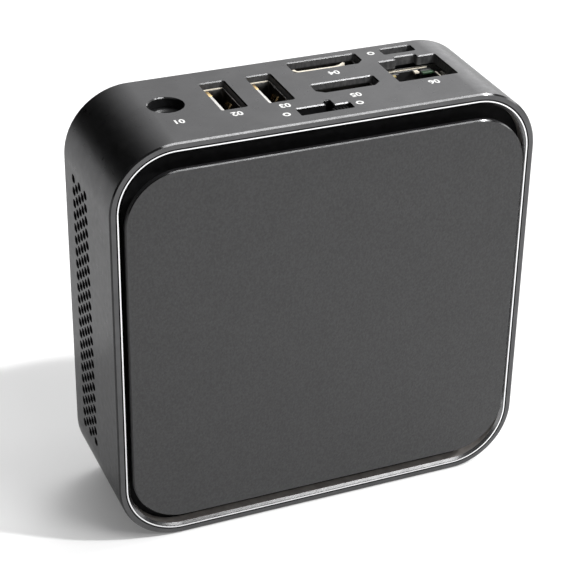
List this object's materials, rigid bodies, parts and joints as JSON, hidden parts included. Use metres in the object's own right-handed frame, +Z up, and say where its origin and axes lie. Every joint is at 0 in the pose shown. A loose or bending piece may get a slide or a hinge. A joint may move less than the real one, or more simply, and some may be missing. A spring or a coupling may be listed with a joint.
{
  "type": "mini pc",
  "caption": "Small square desktop computer stood on edge: slotted metal shell, raised lid plate, power, data, video and network sockets, blower cooling, power button and lid latch.",
  "frame": {"origin": "centre of the bounding box at its foot, on the surface that the object stands on", "axes": "+Z up towards the port side, -Y out of the lid, +Y out of the feet, +X to the right when looking at the lid"},
  "size_m": [0.112, 0.04, 0.112],
  "materials": {
    "satin_metal": "satin, dark grey, fine bead-blasted",
    "dark_plate": "fine-grained matte, dark grey",
    "black_plastic": "black, half gloss",
    "rubber": "matte black",
    "steel": "bright, drawn",
    "copper": "copper, slightly dulled",
    "aluminium": "mill finish",
    "gold": "gold plated",
    "board_green": "green solder mask",
    "clear_plastic": "clear, polished"
  },
  "bodies": {
    "case": {"main_shell": "satin_metal", "lid_panel": "dark_plate", "lid_tray": "black_plastic", "latch_guide": "black_plastic", "bottom_cover": "black_plastic", "power_inlet": "black_plastic", "data_socket_1_tongue": "black_plastic", "data_socket_2_tongue": "black_plastic", "video_socket_wide_tongue": "black_plastic", "video_socket_slim_tongue": "black_plastic", "video_socket_carrier": "black_plastic", "network_socket_insert": "black_plastic", "power_switch_base": "black_plastic", "blower_housing": "black_plastic", "memory_socket": "black_plastic", "storage_socket": "black_plastic", "wireless_socket": "black_plastic", "coin_cell_holder": "black_plastic", "rubber_foot_1": "rubber", "rubber_foot_2": "rubber", "rubber_foot_3": "rubber", "rubber_foot_4": "rubber", "fan_lead": "rubber", "antenna_lead": "rubber", "cover_screw_1": "steel", "cover_screw_2": "steel", "cover_screw_3": "steel", "cover_screw_4": "steel", "board_screw_1": "steel", "board_screw_2": "steel", "board_screw_3": "steel", "board_screw_4": "steel", "power_inlet_pin": "steel", "data_socket_1_shell": "steel", "data_socket_2_shell": "steel", "video_socket_wide_shell": "steel", "video_socket_slim_shell": "steel", "network_socket_can": "steel", "blower_cover": "steel", "fan_bearing": "steel", "storage_screw": "steel", "coin_cell": "steel", "heat_spreader": "copper", "heat_pipe_1": "copper", "heat_pipe_2": "copper", "motor_coil": "copper", "antenna": "copper", "fin_stack": "aluminium", "network_contacts": "gold", "mainboard": "board_green", "processor": "board_green", "memory_module": "board_green", "storage_module": "board_green", "wireless_card": "board_green", "status_light_pipe": "clear_plastic"},
    "fan": {"fan_rotor": "black_plastic", "fan_shaft": "steel"},
    "button": {"power_button": "dark_plate"},
    "plunger": {"power_switch_plunger": "rubber"},
    "latch": {"lid_latch": "black_plastic"}
  },
  "joints": [
    {"name": "fan_spin", "type": "hinge", "parent": "case", "child": "fan", "pos_m": [-0.0132, 0.0074, 0.056], "axis": [0, 1, 0], "continuous": true},
    {"name": "power_button_press", "type": "slide", "parent": "case", "child": "button", "axis": [0, 0, 1], "range_m": [0, 0.0006], "stiffness_N_per_m": 800, "springref_m": -0.001},
    {"name": "switch_plunger_press", "type": "slide", "parent": "case", "child": "plunger", "axis": [0, 0, 1], "range_m": [0, 0.0006]},
    {"name": "lid_latch_slide", "type": "slide", "parent": "case", "child": "latch", "axis": [-1, 0, 0], "range_m": [0, 0.00845]}
  ],
  "couplings": [
    {"joint": "switch_plunger_press", "follows": "power_button_press", "ratio": 1}
  ]
}
